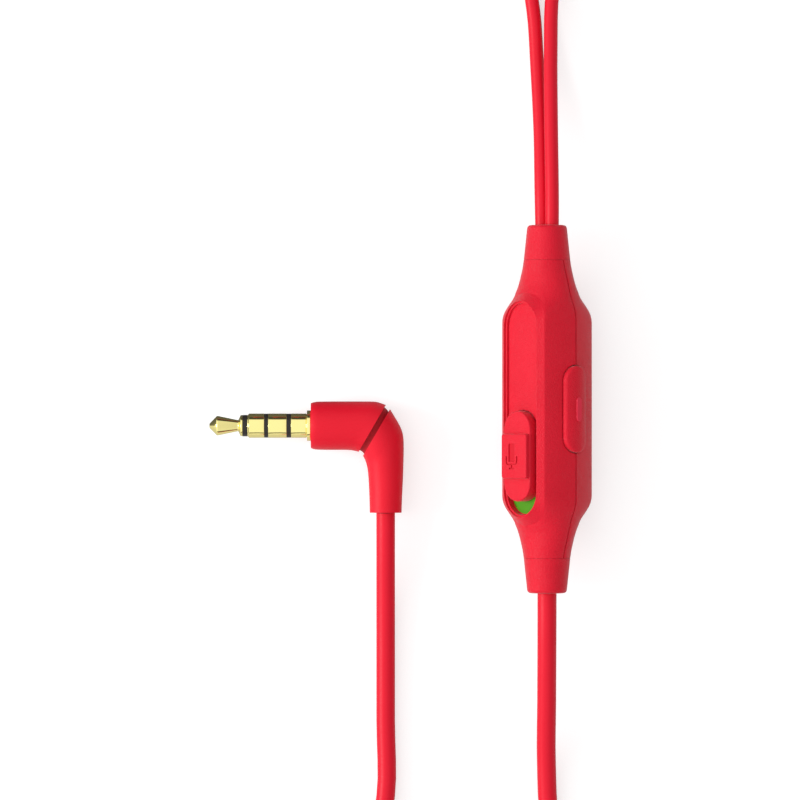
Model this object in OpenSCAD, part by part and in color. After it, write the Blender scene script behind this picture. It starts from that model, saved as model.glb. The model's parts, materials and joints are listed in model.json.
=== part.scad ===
// Wired earphones: an in-line remote on its cords, a right-angle jack plug and two
// in-ear earpieces, laid flat on the plane z = 0.

/* [Remote body] */
// Width across the two side ridges
ridge_w = 11.8; // [11:0.1:15]
// Width across the outer edge of the front face
face_w = 8.6; // [8:0.1:10.5]
// Width across the inner edge of the chamfer
rim_w = 6.5; // [6.2:0.1:7.8]
// Depth from the front face to the rear face
body_d = 11.1; // [10.5:0.1:13]
// Depth between the outer edges of the front and rear chamfers
edge_d = 9.7; // [9.2:0.1:10.4]
// Length of the front face's outer outline
face_l = 33.4; // [32.5:0.1:42]
// Length of the front face's inner outline
rim_l = 31; // [30:0.1:32]
// Length between the ends of the two necks
neck_span = 42.9; // [41:0.1:54]
// Diameter of each neck
neck_d = 6.7; // [6.2:0.1:8]
// Wall thickness of the shells
wall = 0.85; // [0.7:0.05:1]
// Angle at which the remote lies, turned about its length
tilt = 46; // [30:1:60]

/* [Mute slider] */
// Width of the step round the recess
ledge_w = 0.3; // [0.2:0.05:0.4]
// Depth of that step below the front face
ledge_depth = 0.35; // [0.2:0.05:0.45]
// Depth of the recess floor above the slider
floor_depth = 0.7; // [0.5:0.05:0.9]
// Depth of the slot that the slider runs in
slot_depth = 1.3; // [1.15:0.05:1.6]
// Width of the slider knob
knob_w = 5.3; // [4.6:0.1:5.5]
// Length of the slider knob
knob_l = 13; // [12:0.1:14]
// Height of the knob above the front face
knob_proud = 0.63; // [0.4:0.05:0.9]
// Length of the raised grip on the knob
grip_l = 6.4; // [5:0.1:7.8]
// Height of the grip above the knob
grip_h = 0.64; // [0.4:0.05:0.8]
// Travel of the slider from talk to mute
slide_travel = 1.8; // [1.4:0.1:2]

/* [Call button] */
// Length of the opening in the ridge
button_l = 12.74; // [10.6:0.1:15]
// Width of the opening in the ridge
button_w = 4.5; // [4:0.1:4.8]
// Gap all round the cap
button_gap = 0.12; // [0.08:0.01:0.16]
// Height of the cap above the ridge
button_proud = 0.58; // [0.45:0.05:0.8]
// Travel of the button
press_travel = 0.4; // [0.25:0.05:0.45]

/* [Strain reliefs] */
// Length of each boot outside the remote
boot_l = 5.05; // [4:0.1:7]
// Diameter of each boot at its free end
boot_end_d = 5.64; // [5.2:0.1:6.2]

/* [Plug] */
// Diameter of the barrel
plug_d = 3.5; // [3.5:0.01:3.5]
// Length of the barrel from its tip to its flange
plug_l = 14.1; // [14:0.05:14.2]
// Diameter of the flange
flange_d = 4.4; // [4:0.1:5]
// Diameter of the elbow
elbow_d = 7; // [6.6:0.1:8.4]
// Diameter of the elbow's boot at its free end
elbow_boot_d = 4.6; // [4:0.1:5]
// Width of the groove across the elbow
groove_w = 0.83; // [0.6:0.01:1]
// Depth of that groove
groove_depth = 0.35; // [0.25:0.05:0.5]

/* [Cords] */
// Diameter of the main cord
main_d = 2.75; // [2.3:0.05:3]
// Diameter of each lead to an earpiece
lead_d = 2; // [1.6:0.05:2]

/* [Earpieces] */
// Diameter of the earpiece body
ear_d = 11; // [10.6:0.1:13.2]
// Diameter of the silicone tip
tip_d = 12; // [11.8:0.1:14.4]
// Length of the strain relief outside the earpiece
ear_boot_l = 8.5; // [7:0.1:10.2]

/* [Hidden] */
$fn = 48;
ARC_FN = 32;
CORD_SIDES = 8;
eps = 0.01;
big = 100;

// Remote, in its own frame: X across the ridges, Y along it, Z out of the front face
axis_z = edge_d / 2 * cos(tilt) + face_w / 2 * sin(tilt);
ridge_l = face_l + 1.6;
neck_y = neck_span / 2;
flare_y = face_l / 2 - 0.7;
flare_d = 9.2;
stem_d = neck_d - 1.9;
stem_y = neck_y - 3.4;
face_z = body_d / 2;
edge_z = edge_d / 2;
inner_z = edge_z - wall;
floor_z = face_z - floor_depth;
slot_z = face_z - slot_depth;
open_w = rim_w - 2 * ledge_w;
open_l = rim_l - 2 * ledge_w;

// Slider and what it drives
run_gap = 0.05;
slot_end = -open_l / 2;
end_gap = 0.15;
slider_y = slot_end + end_gap + slide_travel + knob_l / 2;
slot_top = slider_y + knob_l / 2 + end_gap;
stem_w = 1.2;
stem_l = 2;
track_low = inner_z - 0.7;
plate_gap = 0.1;
carrier_t = 0.7;
carrier_z = track_low - plate_gap - carrier_t;
icon_x = -0.35;

// Circuit board and what it carries
board_top = -0.8;
board_t = 0.8;
board_w = 5.8;
board_l = 26;
switch_top = 0.6;
lever_top = 2;
mic_y = 8;
mic_d = 4;
mic_h = 1.5;
port_d = 1;

// Call button: its dome, flange and switch
cap_l = button_l - 2 * button_gap;
cap_w = button_w - 2 * button_gap;
cap_top = ridge_w / 2 + button_proud;
cap_rise = 0.63;
dome_r = (cap_w * cap_w / 4 + cap_rise * cap_rise) / (2 * cap_rise);
cap_flange_top = ridge_w / 2 - 1.95;
cap_flange_t = 0.5;
tact_face = 2.8;
plunger_tip = cap_flange_top - cap_flange_t;
plunger_d = 1.2;

// Plug: distances along its axis from the tip
tip_end = 4.8;
collar_1 = 5.5;
barrel_start = 5.65;
ring_1_end = 7.93;
collar_2 = 8.5;
ring_2_end = 11.16;
collar_3 = 11.8;
flange_t = 0.55;
tail_l = 3.4;
pin_core_d = 2;
neck_step_d = plug_d - 0.38;
elbow_start = plug_l + flange_t;
plug_pos = [-48.7, -2.4, elbow_d / 2];

// Elbow, in the lying frame
elbow_x = plug_pos[0] + elbow_start;
turn_x = -24.4;
exit_x = -23.24;
exit_y = -14.96;
core_d = elbow_d - 2 * groove_depth;
core_rod_d = 4.6;
groove_mid = [-24.87, -3.1];
groove_angle = 30;

// Earpieces: axis along X, tips facing each other
ear_z = tip_d / 2;
left_ear = [-43, 108];
right_ear = [2.5, 115];
cover_l = 4.6;
cover_wall = 1;
front_l = 6;
nozzle_d = 4.4;
lip_d = 5.2;
nozzle_end = 11.3;
sound_bore_d = 3;
driver_h = 2.3;
shoulder_z = 2.4;
ear_boot_d = 3.6;
ear_boot_end_d = 2.7;
ear_boot_z = -1.9;
ear_boot_end = ear_d / 2 + ear_boot_l;

// Coils: centre, inner and outer radius of the cord's own centre line; a strap ties each one
tie_t = 0.4;
tie_w = 4;
tie_gap = 0.15;
left_coil_at = [-34.1, 76];
left_coil_r = [6.8, 12.4];
right_coil_at = [-6.1, 83];
right_coil_r = [7.7, 12.9];
main_coil_at = [-14, -87];
main_coil_r = [11.9, 21.1];

// Routes of the cords outside their coils, in the lying frame
boot_y = neck_y + boot_l;
lead_x = lead_d / 2 * cos(tilt);
lead_rise = lead_d / 2 * sin(tilt);
lead_z = lead_d / 2;
main_z = main_d / 2;
left_lead_route = [
    [-lead_x, boot_y, axis_z - lead_rise], [-0.8, 32, 5.3], [-0.9, 40, 3.6], [-1.3, 49, 2],
    [-1.9, 58, lead_z], [-3.4, 63.5, lead_z], [-7.5, 67.4, lead_z], [-14, 67.9, lead_z],
    [-21, 66.2, lead_z], [-27.9, 65.26, lead_z + tie_t]
];
right_lead_route = [
    [lead_x, boot_y, axis_z + lead_rise], [0.7, 32, 6.9], [0.6, 42, 5.4], [0.6, 52, 3.4],
    [1, 61, 1.8], [3.4, 70, lead_z], [6, 77, lead_z], [6.8, 83, lead_z + tie_t]
];
main_upper_route = [
    [0, -boot_y, axis_z], [0, -33, 6], [0, -42, 4.2], [0, -51, 2.3], [0.6, -60, main_z],
    [3.4, -70, main_z], [6.4, -79, main_z], [7.1, -87, main_z + tie_t]
];
main_lower_route = [
    [exit_x, exit_y, elbow_d / 2], [exit_x, -21, 3], [exit_x, -32, 1.7],
    [exit_x, -45, main_z], [exit_x, -56, main_z], [-25.6, -65, main_z + 0.4],
    [-31.2, -74, main_z + 1.7], [-34.6, -81, main_z + 2.8], [-35.1, -87, main_z + 3.2]
];
left_end_route = [
    [-46.5, 76, 3.45], [-46.4, 82, 4], [-45.4, 88, 5.3],
    [left_ear[0] + ear_boot_z, left_ear[1] - ear_boot_end, ear_z]
];
right_end_route = [
    [6.8, 83, 3.45], [6.5, 89, 4], [5, 96, 5.5],
    [right_ear[0] - ear_boot_z, right_ear[1] - ear_boot_end, ear_z]
];

// The whole set is moved so that the origin lies under the middle of the remote and earpieces
home = [
    -(left_ear[0] - cover_l + right_ear[0] + cover_l) / 2,
    -(right_ear[1] + tip_d / 2 - boot_y) / 2, 0
];

// ---- Shared shapes ----

// Slot outline with round ends, lying along Y
module slot_outline(w, l) {
    square([w, l - w], center = true);
    for (side = [-1, 1]) translate([0, side * (l - w) / 2]) circle(d = w);
}

// Slot outline from height low to height high
module slot_block(w, l, low, high) {
    translate([0, 0, low]) linear_extrude(high - low) slot_outline(w, l);
}

// Box centred on X and Y, from height low to height high
module block(w, l, low, high) {
    translate([-w / 2, -l / 2, low]) cube([w, l, high - low]);
}

// Places what follows in the lying frame of the whole set
module at_home() {
    translate(home) children();
}

// Places what follows in the remote's own frame
module in_remote() {
    at_home() translate([0, 0, axis_z]) rotate([0, -tilt, 0]) children();
}

// Turns a shape drawn along Z so that it points along +X in the remote's frame
module sideways() {
    rotate([0, 90, 0]) children();
}

// ---- Remote shells ----

// Faceted form of the remote, drawn in by inset on every side
module body_form(inset) {
    layers = [[0, ridge_w, ridge_l], [edge_z, face_w, face_l], [face_z, rim_w, rim_l]];
    hull()
        for (layer = layers)
            for (side = [-1, 1])
                translate([0, 0, side * max(layer[0] - inset, eps)])
                    linear_extrude(eps, center = true)
                        slot_outline(layer[1] - 2 * inset, layer[2] - 2 * inset, $fn = ARC_FN);
}

// Round flare from each end of the body to the end of its neck
module neck_form() {
    flare = [
        [0, flare_y - 2], [flare_d / 2, flare_y - 2], [flare_d / 2, flare_y],
        [flare_d / 2 - 0.45, flare_y + 1.6], [neck_d / 2 + 0.15, neck_y - 1.4],
        [neck_d / 2, neck_y], [0, neck_y]
    ];
    for (turn = [-90, 90]) rotate([turn, 0, 0]) rotate_extrude() polygon(flare);
}

module remote_hollow() {
    intersection() {
        body_form(wall);
        block(ridge_w, face_l - 2.4, -inner_z, inner_z);
    }
    rotate([90, 0, 0]) cylinder(d = stem_d, h = neck_span + 1, center = true);
}

module button_opening() {
    sideways() slot_block(button_w, button_l, plunger_tip, cap_top + 1);
}

module front_shell() {
    color("crimson") difference() {
        intersection() {
            union() {
                body_form(0);
                neck_form();
            }
            block(big, big, 0, big);
        }
        remote_hollow();
        slot_block(open_w, open_l, 0, big);
        slot_block(rim_w, rim_l, face_z - ledge_depth, big);
        button_opening();
    }
}

// The rear shell holds the board on four posts and has the microphone's port
module rear_shell() {
    post_x = board_w / 2 - 0.7;
    post_y = board_l / 2 - 1;
    color("crimson") {
        difference() {
            intersection() {
                union() {
                    body_form(0);
                    neck_form();
                }
                block(big, big, -big, 0);
            }
            remote_hollow();
            button_opening();
            translate([0, mic_y, -big / 2]) cylinder(d = port_d, h = big / 2 - inner_z / 2);
        }
        for (x = [-post_x, post_x])
            for (y = [-post_y, post_y])
                translate([x, y, -inner_z - 0.2])
                    cylinder(d = 1.2, h = inner_z + 0.2 + board_top - board_t);
    }
}

// ---- Strain reliefs of the remote ----

module boot_profile() {
    end_r = boot_end_d / 2;
    rotate([-90, 0, 0]) rotate_extrude() polygon([
        [0, stem_y], [stem_d / 2, stem_y], [stem_d / 2, neck_y], [neck_d / 2, neck_y],
        [end_r, boot_y - 0.4], [end_r - 0.4, boot_y], [0, boot_y]
    ]);
}

module upper_boot() {
    color("crimson") boot_profile();
}

module lower_boot() {
    color("crimson") mirror([0, 1, 0]) boot_profile();
}

// ---- Mute slider ----

// Insert that floors the recess, with the slot the knob runs in
module slider_track() {
    slot_mid = (slot_top + slot_end) / 2;
    slot_run = slot_top - slot_end;
    color("crimson") difference() {
        union() {
            slot_block(open_w, open_l, inner_z, floor_z);
            slot_block(open_w + 0.7, open_l - 0.4, track_low, inner_z);
        }
        translate([0, slot_mid, 0]) slot_block(open_w + eps, slot_run, slot_z, floor_z + 1);
        translate([0, slider_y - slide_travel / 2, 0])
            block(stem_w + 4 * run_gap, stem_l + slide_travel + 4 * run_gap, 0, big);
        indicator_form(0);
    }
}

// Crescent that the knob uncovers at the lower end of the slot
module indicator_form(clear) {
    inlay_l = 2.6;
    intersection() {
        slot_block(open_w - 0.5, open_l - 0.3, slot_z - 0.3, slot_z);
        translate([0, slot_end + inlay_l / 2, 0]) block(big, inlay_l - clear, 0, big);
    }
}

module green_indicator() {
    color("limegreen") indicator_form(0);
}

module microphone_icon(low) {
    pill_w = 1.2;
    pill_l = 2.6;
    stroke = 0.26;
    translate([icon_x, 0.1, low]) {
        linear_extrude(1) {
            translate([0, 0.35]) square([pill_w, pill_l], center = true);
            translate([0, -1.95]) square([1, stroke], center = true);
            translate([0, -1.6]) square([stroke, 0.6], center = true);
        }
        linear_extrude(1) intersection() {
            translate([0, -0.3]) difference() {
                circle(r = 1.2);
                circle(r = 1.2 - stroke);
            }
            translate([0, -1]) square([3, 1.4], center = true);
        }
    }
}

// Knob with its raised grip, and the stem that passes down through the track
module mute_slider() {
    knob_top = face_z + knob_proud;
    grip_top = knob_top + grip_h;
    color("crimson") translate([0, slider_y, 0]) difference() {
        union() {
            slot_block(knob_w, knob_l, slot_z + run_gap, knob_top);
            block(knob_w - 0.25, grip_l, knob_top, grip_top);
            block(stem_w, stem_l, carrier_z + carrier_t, slot_z + run_gap);
        }
        microphone_icon(grip_top - 0.15);
    }
}

// Plate under the track that holds the knob down, with a fork for the switch lever
module slider_carrier() {
    fork_gap = 1;
    color("dimgray") translate([0, slider_y, 0]) {
        block(3.6, 6, carrier_z, carrier_z + carrier_t);
        for (side = [-1, 1])
            translate([0, side * (fork_gap + 0.6) / 2, 0]) block(1.6, 0.6, 1.2, carrier_z);
    }
}

module switch_lever() {
    color("ivory") translate([0, slider_y, 0]) block(0.9, 1, 0.15, lever_top);
}

module slide_switch() {
    color("silver") translate([0, slider_y - slide_travel / 2, 0]) difference() {
        block(2.8, 6.6, board_top, switch_top);
        block(1.1, 1 + slide_travel + 0.4, 0.1, switch_top + 1);
    }
}

// ---- Board and electronics ----

module circuit_board() {
    color("darkgreen") block(board_w, board_l, board_top - board_t, board_top);
}

// Side-acting push switch that stands on the board behind the call button
module push_switch() {
    color("silver") difference() {
        translate([tact_face - 1.8, -2, board_top]) cube([1.8, 4, 1.6]);
        sideways() translate([0, 0, 1.6]) cylinder(d = plunger_d + 2 * run_gap, h = 2);
    }
}

module switch_plunger() {
    color("ivory") sideways() translate([0, 0, 2.1]) cylinder(d = plunger_d, h = plunger_tip - 2.1);
}

module microphone() {
    low = board_top - board_t - mic_h;
    color("silver") translate([0, mic_y, low]) difference() {
        cylinder(d = mic_d, h = mic_h);
        translate([0, 0, -1]) cylinder(d = port_d, h = 1.3);
    }
}

// Ring of soft foam between the microphone and its port in the rear shell
module microphone_gasket() {
    low = -inner_z;
    top = board_top - board_t - mic_h;
    color("dimgray") translate([0, mic_y, low]) difference() {
        cylinder(d = mic_d - 0.4, h = top - low);
        translate([0, 0, -1]) cylinder(d = port_d, h = top - low + 2);
    }
}

// ---- Call button ----

// Domed cap with a raised pip and an inner flange that stops it falling out
module call_button() {
    pip_w = 1;
    pip_l = 3.5;
    color("crimson") {
        intersection() {
            sideways() slot_block(cap_w, cap_l, plunger_tip, cap_top);
            translate([cap_top - dome_r, 0, 0]) rotate([90, 0, 0])
                cylinder(r = dome_r, h = cap_l, center = true, $fn = 96);
        }
        sideways() slot_block(button_w + 0.5, button_l + 0.5, plunger_tip, cap_flange_top);
        sideways() slot_block(pip_w, pip_l, cap_top - 0.5, cap_top + 0.12);
    }
}

// ---- Plug ----

// Turned piece on the plug's axis, from a profile of radius and distance from the tip
module on_plug_axis() {
    at_home() translate(plug_pos) rotate([0, 90, 0]) children();
}

module turned(profile) {
    on_plug_axis() rotate_extrude() polygon(profile);
}

// Tube on the plug's axis that fits over its insulated core
module contact_tube(d, from, to) {
    translate([0, 0, from]) difference() {
        cylinder(d = d, h = to - from);
        translate([0, 0, -1]) cylinder(d = pin_core_d, h = to - from + 2);
    }
}

module plug_tip() {
    socket_z = tip_end - 0.25;
    color("gold") turned([
        [0, 0], [0.55, 0], [1.15, 0.35], [1.41, 1.1], [1.3, 1.9], [0.88, 3.95],
        [neck_step_d / 2, 4.45], [neck_step_d / 2, tip_end], [pin_core_d / 2, tip_end],
        [pin_core_d / 2, socket_z], [0, socket_z]
    ]);
}

// Moulded core that carries the contacts, with its three black collars
module plug_insulator() {
    collars = [
        [neck_step_d, tip_end, collar_1], [plug_d, ring_1_end, collar_2],
        [plug_d, ring_2_end, collar_3]
    ];
    color("black") on_plug_axis() {
        translate([0, 0, tip_end - 0.25]) cylinder(d = pin_core_d, h = plug_l - tip_end + tail_l);
        for (collar = collars)
            translate([0, 0, collar[1]]) cylinder(d = collar[0], h = collar[2] - collar[1]);
    }
}

module plug_ring_1() {
    color("gold") on_plug_axis() {
        contact_tube(neck_step_d, collar_1, barrel_start);
        contact_tube(plug_d, barrel_start, ring_1_end);
    }
}

module plug_ring_2() {
    color("gold") on_plug_axis() contact_tube(plug_d, collar_2, ring_2_end);
}

module plug_sleeve() {
    color("gold") on_plug_axis() {
        contact_tube(plug_d, collar_3, plug_l);
        contact_tube(flange_d, plug_l, elbow_start);
        contact_tube(plug_d, elbow_start, plug_l + tail_l);
    }
}

// ---- Elbow ----

// Round elbow of diameter d on the plug's axis, its leg of diameter leg_d at the free end
module elbow_form(d, leg_d, from_x, to_y) {
    leg_r = leg_d / 2;
    leg = [
        [0, 0], [leg_r + 0.3, 0], [leg_r + 0.32, 4], [leg_r + 0.15, 7.5],
        [leg_r, plug_pos[1] - to_y], [0, plug_pos[1] - to_y]
    ];
    translate([from_x, plug_pos[1], plug_pos[2]]) rotate([0, 90, 0])
        cylinder(d = d, h = turn_x - from_x);
    translate([turn_x, plug_pos[1], plug_pos[2]]) sphere(d = d);
    translate([exit_x, plug_pos[1], plug_pos[2]]) rotate([90, 0, 0]) rotate_extrude() polygon(leg);
}

// Slab of thickness t along the groove, moved by shift across it
module groove_slab(t, shift) {
    translate([groove_mid[0], groove_mid[1], plug_pos[2]]) rotate([0, 0, -groove_angle])
        translate([shift - t / 2, -big / 2, -big / 2]) cube([t, big, big]);
}

// Inner moulding over the solder joints, seen at the bottom of the groove
module elbow_core_form() {
    elbow_form(core_rod_d, elbow_boot_d - 1.2, elbow_x, exit_y + 3);
    intersection() {
        elbow_form(core_d, elbow_boot_d, elbow_x + 2, exit_y + 5);
        groove_slab(groove_w, 0);
    }
}

module elbow_core() {
    color("firebrick") at_home() difference() {
        elbow_core_form();
        translate([elbow_x - eps, plug_pos[1], plug_pos[2]]) rotate([0, 90, 0])
            cylinder(d = plug_d, h = tail_l - flange_t + eps);
    }
}

module elbow_housing() {
    color("crimson") at_home() difference() {
        intersection() {
            elbow_form(elbow_d, elbow_boot_d, elbow_x, exit_y);
            groove_slab(big, -(big + groove_w) / 2);
        }
        elbow_core_form();
    }
}

module elbow_boot() {
    color("crimson") at_home() difference() {
        intersection() {
            elbow_form(elbow_d, elbow_boot_d, elbow_x, exit_y);
            groove_slab(big, (big + groove_w) / 2);
        }
        elbow_core_form();
    }
}

// ---- Cords ----

function unit(v) = v / norm(v);

// Point at u between points i and i + 1 of a smooth curve through all the points
function curve_point(p, i, u) =
    let (
        a = p[max(i - 1, 0)],
        b = p[i],
        c = p[i + 1],
        d = p[min(i + 2, len(p) - 1)]
    )
    0.5 * (2 * b + (c - a) * u + (2 * a - 5 * b + 4 * c - d) * u * u
        + (3 * b - a - 3 * c + d) * u * u * u);

function smooth_route(p) = [
    for (i = [0 : len(p) - 2]) for (u = [0, 0.5]) curve_point(p, i, u),
    p[len(p) - 1]
];

function heading(p, i) = unit(p[min(i + 1, len(p) - 1)] - p[max(i - 1, 0)]);

// Heading at the two ends: along Y where the cord meets a boot or joins its coil
function ring_heading(p, i, first, last) =
    i == 0 ? first : i == len(p) - 1 ? last : heading(p, i);

function ring(centre, dir, r) =
    let (
        side = unit(cross(dir, [0, 0, 1])),
        up = cross(side, dir)
    )
    [
        for (k = [0 : CORD_SIDES - 1])
            let (a = 360 * (k + 0.5) / CORD_SIDES)
            centre + r * (cos(a) * side + sin(a) * up)
    ];

module cord_tube(route, d, first, last) {
    p = smooth_route(route);
    n = CORD_SIDES;
    rings = [for (i = [0 : len(p) - 1]) ring(p[i], ring_heading(p, i, first, last), d / 2)];
    points = [for (r = rings) for (q = r) q];
    top = (len(p) - 1) * n;
    walls = [
        for (i = [0 : len(p) - 2])
            for (k = [0 : n - 1])
                [i * n + k, i * n + (k + 1) % n, (i + 1) * n + (k + 1) % n, (i + 1) * n + k]
    ];
    ends = [[for (k = [n - 1 : -1 : 0]) k], [for (k = [0 : n - 1]) top + k]];
    polyhedron(points = points, faces = concat(walls, ends), convexity = 6);
}

// Closed solid of a coil two cords high
module coil_solid(at, radii, d) {
    translate([at[0], at[1], tie_t]) rotate_extrude($fn = 96)
        translate([radii[0] - d / 2, 0]) square([radii[1] - radii[0] + d, 2 * d + 0.05]);
}

// Strap closed round the section of a coil, at the given angle from +X; its inner wall is flat,
// so it stands clear of the coil's round hole at the strap's two edges
module coil_tie(at, radii, d, angle) {
    low = sqrt(pow(radii[0] - d / 2, 2) - pow(tie_w / 2, 2)) - tie_gap;
    width = radii[1] + d / 2 + tie_gap - low;
    top = tie_t + 2 * d + 0.05;
    color("dimgray") at_home() translate([at[0], at[1], 0]) rotate([0, 0, angle]) difference() {
        translate([low - tie_t, -tie_w / 2, 0]) cube([width + 2 * tie_t, tie_w, top + tie_t]);
        translate([low, -tie_w, tie_t]) cube([width, 2 * tie_w, top - tie_t]);
    }
}

module left_lead() {
    color("crimson") at_home() cord_tube(left_lead_route, lead_d, [0, 1, 0], [-1, 0.1, 0]);
}

module left_tie() {
    coil_tie(left_coil_at, left_coil_r, lead_d, 110);
}

module left_coil() {
    color("crimson") at_home() coil_solid(left_coil_at, left_coil_r, lead_d);
}

module left_lead_end() {
    color("crimson") at_home() cord_tube(left_end_route, lead_d, [0, 1, 0], [0, 1, 0]);
}

module right_lead() {
    color("crimson") at_home() cord_tube(right_lead_route, lead_d, [0, 1, 0], [0, 1, 0]);
}

module right_tie() {
    coil_tie(right_coil_at, right_coil_r, lead_d, 200);
}

module right_coil() {
    color("crimson") at_home() coil_solid(right_coil_at, right_coil_r, lead_d);
}

module right_lead_end() {
    color("crimson") at_home() cord_tube(right_end_route, lead_d, [0, 1, 0], [0, 1, 0]);
}

module main_cord_upper() {
    color("crimson") at_home() cord_tube(main_upper_route, main_d, [0, -1, 0], [0, -1, 0]);
}

module main_tie() {
    coil_tie(main_coil_at, main_coil_r, main_d, 270);
}

module main_coil() {
    color("crimson") at_home() coil_solid(main_coil_at, main_coil_r, main_d);
}

module main_cord_lower() {
    color("crimson") at_home() cord_tube(main_lower_route, main_d, [0, -1, 0], [0, -1, 0]);
}

// ---- Earpieces, each drawn along Z with its tip upwards and its boot along -Y ----

module in_left_ear() {
    at_home() translate([left_ear[0], left_ear[1], ear_z]) rotate([0, 90, 0]) children();
}

module in_right_ear() {
    at_home() translate([right_ear[0], right_ear[1], ear_z]) rotate([0, -90, 0]) children();
}

// Front half of the body with the nozzle that carries the tip
module front_housing() {
    r = ear_d / 2;
    color("crimson") rotate_extrude() polygon([
        [r, 0], [r, 2.2], [3.4, front_l], [nozzle_d / 2, front_l], [nozzle_d / 2, 10.1],
        [lip_d / 2, 10.2], [lip_d / 2, nozzle_end], [sound_bore_d / 2, nozzle_end],
        [sound_bore_d / 2, shoulder_z + 2.2], [r - 1.6, shoulder_z], [r - 0.9, shoulder_z],
        [r - 0.9, 0]
    ]);
}

// Rear half of the body with a hole for the strain relief
module back_cover() {
    r = ear_d / 2;
    inner_r = r - cover_wall;
    color("crimson") difference() {
        rotate_extrude() polygon([
            [r, 0], [r, -1.6], [r - 0.8, -3.9], [r - 2.1, -cover_l], [0, -cover_l],
            [0, cover_wall - cover_l], [inner_r - 1.3, cover_wall - cover_l],
            [inner_r, -1.4], [inner_r, 0]
        ]);
        ear_boot_form();
    }
}

module ear_boot_form() {
    translate([0, 0, ear_boot_z]) rotate([90, 0, 0]) rotate_extrude() polygon([
        [0, ear_d / 2 - 1.7], [ear_boot_d / 2, ear_d / 2 - 1.7],
        [ear_boot_d / 2, ear_d / 2 + 1.2], [ear_boot_end_d / 2, ear_boot_end],
        [0, ear_boot_end]
    ]);
}

module ear_boot() {
    color("crimson") ear_boot_form();
}

module driver() {
    color("silver") translate([0, 0, shoulder_z - driver_h]) cylinder(d = ear_d - 2, h = driver_h);
}

module nozzle_mesh() {
    color("silver") translate([0, 0, nozzle_end - 0.6]) cylinder(d = sound_bore_d, h = 0.3);
}

// Silicone tip: a sleeve over the nozzle and a thin skirt folded back round it
module ear_tip() {
    r = tip_d / 2;
    color("dimgray") rotate_extrude() polygon([
        [nozzle_d / 2, 6.4], [3.2, 6.4], [3.4, 10.4], [r - 1.1, 9.4], [r - 0.5, 7.6],
        [r - 0.3, 6.2], [r, 6.2], [r, 7.8], [r - 0.4, 9.8], [r - 1.3, 11.6], [r - 2.5, 12.9],
        [2.6, 13.4], [1.9, 13.3], [1.9, nozzle_end], [lip_d / 2, nozzle_end],
        [lip_d / 2, 10.2], [nozzle_d / 2, 10.1]
    ]);
}

in_remote() front_shell();  // remote_front_shell
in_remote() rear_shell();  // remote_rear_shell
in_remote() upper_boot();
in_remote() lower_boot();
in_remote() slider_track();
in_remote() green_indicator();
in_remote() mute_slider();
in_remote() slider_carrier();
in_remote() switch_lever();
in_remote() slide_switch();
in_remote() circuit_board();
in_remote() call_button();
in_remote() switch_plunger();
in_remote() push_switch();
in_remote() microphone();
in_remote() microphone_gasket();
plug_tip();
plug_insulator();
plug_ring_1();
plug_ring_2();
plug_sleeve();
elbow_core();
elbow_housing();
elbow_boot();
left_lead();
left_coil();
left_tie();
left_lead_end();
right_lead();
right_coil();
right_tie();
right_lead_end();
main_cord_upper();
main_coil();
main_tie();
main_cord_lower();
in_left_ear() front_housing();  // left_front_housing
in_left_ear() back_cover();  // left_back_cover
in_left_ear() driver();  // left_driver
in_left_ear() nozzle_mesh();  // left_nozzle_mesh
in_left_ear() ear_tip();  // left_ear_tip
in_left_ear() ear_boot();  // left_ear_boot
in_right_ear() front_housing();  // right_front_housing
in_right_ear() back_cover();  // right_back_cover
in_right_ear() driver();  // right_driver
in_right_ear() nozzle_mesh();  // right_nozzle_mesh
in_right_ear() ear_tip();  // right_ear_tip
in_right_ear() ear_boot();  // right_ear_boot
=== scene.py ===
"""Wired earphones laid flat on a pale table: a remote on its cords, a right-angle plug
and two in-ear earpieces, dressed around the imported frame."""

import json
import math

import bmesh
import bpy
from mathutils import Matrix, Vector


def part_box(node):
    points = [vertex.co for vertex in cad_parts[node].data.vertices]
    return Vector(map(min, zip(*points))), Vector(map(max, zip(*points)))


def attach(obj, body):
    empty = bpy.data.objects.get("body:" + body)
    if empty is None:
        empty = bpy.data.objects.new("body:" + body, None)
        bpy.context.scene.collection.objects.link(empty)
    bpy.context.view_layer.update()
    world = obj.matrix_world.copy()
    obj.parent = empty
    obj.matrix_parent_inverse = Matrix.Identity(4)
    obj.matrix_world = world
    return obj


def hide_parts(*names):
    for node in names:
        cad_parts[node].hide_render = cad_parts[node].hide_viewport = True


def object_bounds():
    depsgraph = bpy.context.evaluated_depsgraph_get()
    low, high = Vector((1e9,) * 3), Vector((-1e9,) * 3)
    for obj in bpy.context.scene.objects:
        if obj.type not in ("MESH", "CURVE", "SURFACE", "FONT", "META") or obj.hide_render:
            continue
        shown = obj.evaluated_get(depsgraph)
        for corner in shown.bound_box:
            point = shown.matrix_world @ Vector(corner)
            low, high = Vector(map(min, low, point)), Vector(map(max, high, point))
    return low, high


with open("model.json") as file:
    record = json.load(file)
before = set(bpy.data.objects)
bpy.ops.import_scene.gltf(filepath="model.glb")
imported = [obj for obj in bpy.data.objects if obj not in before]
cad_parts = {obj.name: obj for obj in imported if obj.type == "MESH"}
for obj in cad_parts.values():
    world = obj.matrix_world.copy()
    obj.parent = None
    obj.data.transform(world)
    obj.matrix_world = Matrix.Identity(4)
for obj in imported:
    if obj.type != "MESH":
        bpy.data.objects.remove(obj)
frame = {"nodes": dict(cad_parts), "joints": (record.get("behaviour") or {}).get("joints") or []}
cad_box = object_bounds()

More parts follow.
